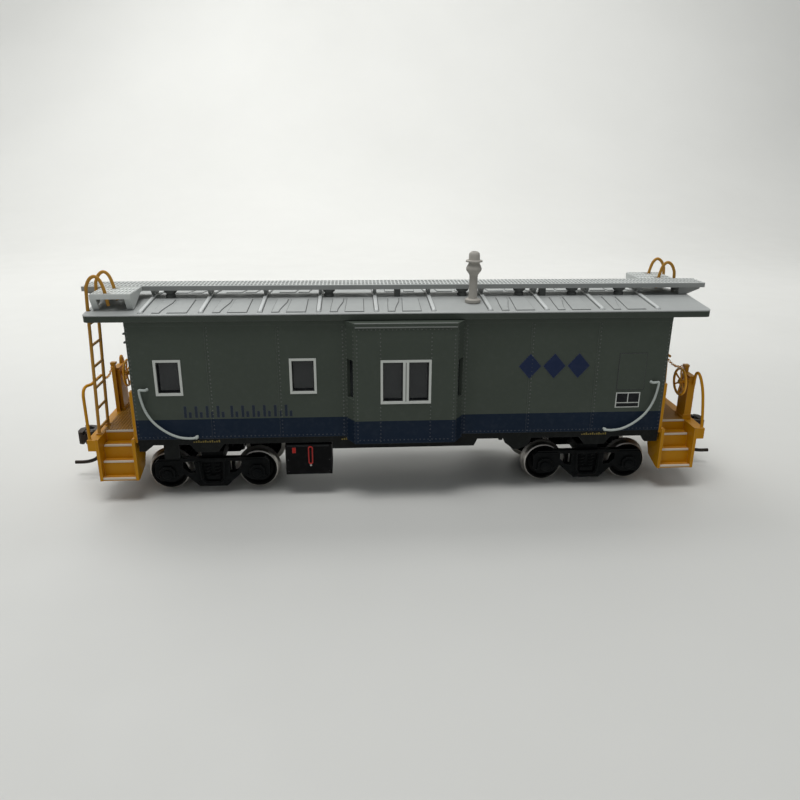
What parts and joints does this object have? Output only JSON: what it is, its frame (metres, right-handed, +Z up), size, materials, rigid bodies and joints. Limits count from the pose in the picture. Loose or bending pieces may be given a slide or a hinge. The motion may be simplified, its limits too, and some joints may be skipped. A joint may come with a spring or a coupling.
{
  "type": "model railway caboose",
  "caption": "Model railway caboose with side bays, silver roof with walkway, yellow end platforms and ladders, two swivelling trucks and sprung couplers.",
  "frame": {"origin": "on the floor midway between the trucks, at the lowest point of the wheel flanges", "axes": "+X along the car towards end b, +Y across the car to the far side, +Z up"},
  "size_m": [0.1836, 0.0396, 0.0639],
  "materials": {
    "body_paint": "satin painted plastic, medium grey-green with a navy band",
    "roof_silver": "satin silver-grey paint",
    "walkway_silver": "satin silver paint on fine grating",
    "jack_grey": "matt warm grey plastic",
    "underframe_black": "matt black plastic",
    "weight_steel": "plain steel sheet",
    "end_yellow": "satin golden yellow paint",
    "ladder_yellow": "satin brownish yellow",
    "screw_steel": "bright steel",
    "coupler_brown": "dark brown blackened metal",
    "truck_black": "matt black plastic",
    "axle_black": "matt dark plastic",
    "wheel_metal": "turned metal tread, darkened face",
    "frame_white": "satin off-white paint",
    "window_glass": "smoky clear plastic",
    "grab_white": "satin white paint"
  },
  "bodies": {
    "car": {"body_shell": "body_paint", "roof": "roof_silver", "running_board": "walkway_silver", "smoke_jack": "jack_grey", "underframe": "underframe_black", "weight_plate": "weight_steel", "end_platform_a": "end_yellow", "corner_rail_a": "end_yellow", "hoop_rail_a": "end_yellow", "brake_pedestal_a": "end_yellow", "brake_wheel_a": "end_yellow", "safety_chain_a": "end_yellow", "ladder_a": "ladder_yellow", "lateral_platform_a": "walkway_silver", "truck_screw_a": "screw_steel", "end_platform_b": "end_yellow", "corner_rail_b": "end_yellow", "hoop_rail_b": "end_yellow", "brake_pedestal_b": "end_yellow", "brake_wheel_b": "end_yellow", "safety_chain_b": "end_yellow", "ladder_b": "ladder_yellow", "lateral_platform_b": "walkway_silver", "truck_screw_b": "screw_steel", "window_frame_near_1": "frame_white", "window_frame_near_2": "frame_white", "bay_frame_near": "frame_white", "side_glazing_near": "window_glass", "bay_glazing_near": "window_glass", "grab_iron_near_1": "grab_white", "grab_iron_near_2": "grab_white", "equipment_box_near": "underframe_black", "window_frame_far_1": "frame_white", "window_frame_far_2": "frame_white", "bay_frame_far": "frame_white", "side_glazing_far": "window_glass", "bay_glazing_far": "window_glass", "grab_iron_far_1": "grab_white", "grab_iron_far_2": "grab_white", "equipment_box_far": "underframe_black"},
    "truck_a": {"truck_frame_a": "truck_black"},
    "wheelset_a1": {"axle_a1": "axle_black", "wheel_a1_left": "wheel_metal", "wheel_a1_right": "wheel_metal"},
    "wheelset_a2": {"axle_a2": "axle_black", "wheel_a2_left": "wheel_metal", "wheel_a2_right": "wheel_metal"},
    "draft_a": {"coupler_a": "coupler_brown"},
    "jaw_a": {"knuckle_a": "coupler_brown"},
    "truck_b": {"truck_frame_b": "truck_black"},
    "wheelset_b1": {"axle_b1": "axle_black", "wheel_b1_left": "wheel_metal", "wheel_b1_right": "wheel_metal"},
    "wheelset_b2": {"axle_b2": "axle_black", "wheel_b2_left": "wheel_metal", "wheel_b2_right": "wheel_metal"},
    "draft_b": {"coupler_b": "coupler_brown"},
    "jaw_b": {"knuckle_b": "coupler_brown"}
  },
  "joints": [
    {"name": "truck_a_swivel", "type": "hinge", "parent": "car", "child": "truck_a", "pos_m": [-0.0511, 0, 0.0123], "axis": [0, 0, 1], "range_deg": [-15, 15]},
    {"name": "wheelset_a1_roll", "type": "hinge", "parent": "truck_a", "child": "wheelset_a1", "pos_m": [-0.03925, 0, 0.00585], "axis": [0, 1, 0], "continuous": true},
    {"name": "wheelset_a2_roll", "type": "hinge", "parent": "truck_a", "child": "wheelset_a2", "pos_m": [-0.06295, 0, 0.00585], "axis": [0, 1, 0], "continuous": true},
    {"name": "coupler_a_swing", "type": "hinge", "parent": "car", "child": "draft_a", "pos_m": [-0.0715, 0, 0.0127], "axis": [0, 0, 1], "range_deg": [-10, 10], "stiffness_Nm_per_rad": 0.0005},
    {"name": "knuckle_a_open", "type": "hinge", "parent": "draft_a", "child": "jaw_a", "pos_m": [-0.0861, -0.00155, 0.0127], "axis": [0, 0, 1], "range_deg": [0, 20], "stiffness_Nm_per_rad": 0.00002},
    {"name": "truck_b_swivel", "type": "hinge", "parent": "car", "child": "truck_b", "pos_m": [0.0511, 0, 0.0123], "axis": [0, 0, 1], "range_deg": [-15, 15]},
    {"name": "wheelset_b1_roll", "type": "hinge", "parent": "truck_b", "child": "wheelset_b1", "pos_m": [0.03925, 0, 0.00585], "axis": [0, 1, 0], "continuous": true},
    {"name": "wheelset_b2_roll", "type": "hinge", "parent": "truck_b", "child": "wheelset_b2", "pos_m": [0.06295, 0, 0.00585], "axis": [0, 1, 0], "continuous": true},
    {"name": "coupler_b_swing", "type": "hinge", "parent": "car", "child": "draft_b", "pos_m": [0.0715, 0, 0.0127], "axis": [0, 0, 1], "range_deg": [-10, 10], "stiffness_Nm_per_rad": 0.0005},
    {"name": "knuckle_b_open", "type": "hinge", "parent": "draft_b", "child": "jaw_b", "pos_m": [0.0861, 0.00155, 0.0127], "axis": [0, 0, 1], "range_deg": [0, 20], "stiffness_Nm_per_rad": 0.00002}
  ]
}
